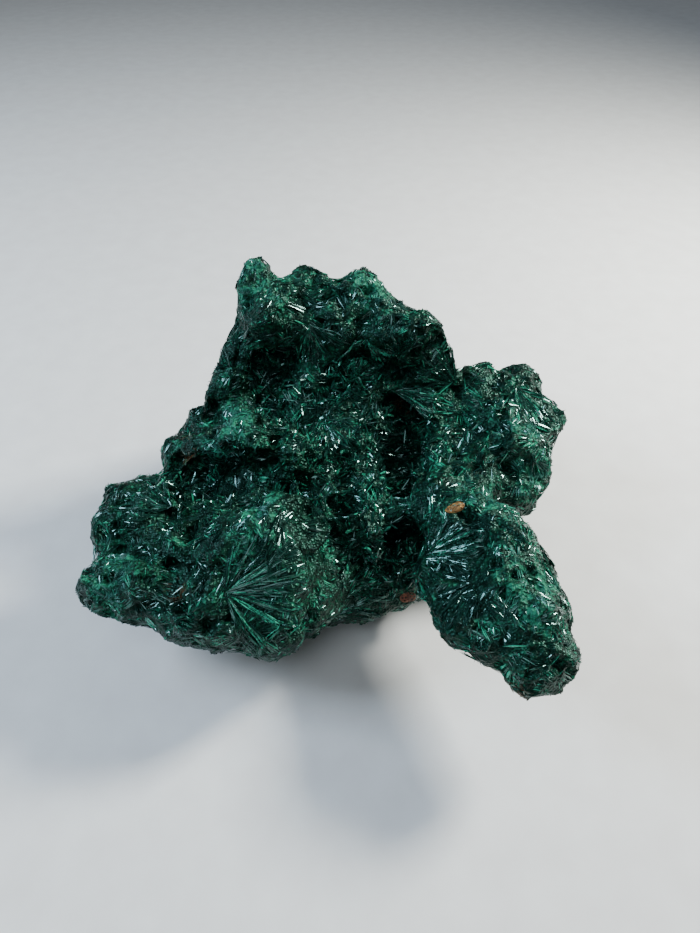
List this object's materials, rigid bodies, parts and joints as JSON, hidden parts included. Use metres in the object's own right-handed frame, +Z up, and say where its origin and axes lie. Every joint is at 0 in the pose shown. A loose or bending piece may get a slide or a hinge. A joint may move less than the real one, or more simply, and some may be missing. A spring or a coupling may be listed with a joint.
{
  "type": "malachite specimen",
  "caption": "Natural lump of fibrous malachite: warty lobes round a hollow middle, fans of radiating crystals, a limb to the front, flat broken underside.",
  "frame": {"origin": "middle of the flat break underneath, on the surface that the specimen rests on", "axes": "+Z up, -Y towards the front where the long limb points, +X to the right seen from the front"},
  "size_m": [0.0833, 0.0811, 0.0479],
  "materials": {
    "malachite": "silky",
    "iron_ore": "matte"
  },
  "bodies": {
    "root": {"malachite": "malachite", "iron_ore_chip_upper": "iron_ore", "iron_ore_chip_lower": "iron_ore"}
  },
  "joints": []
}
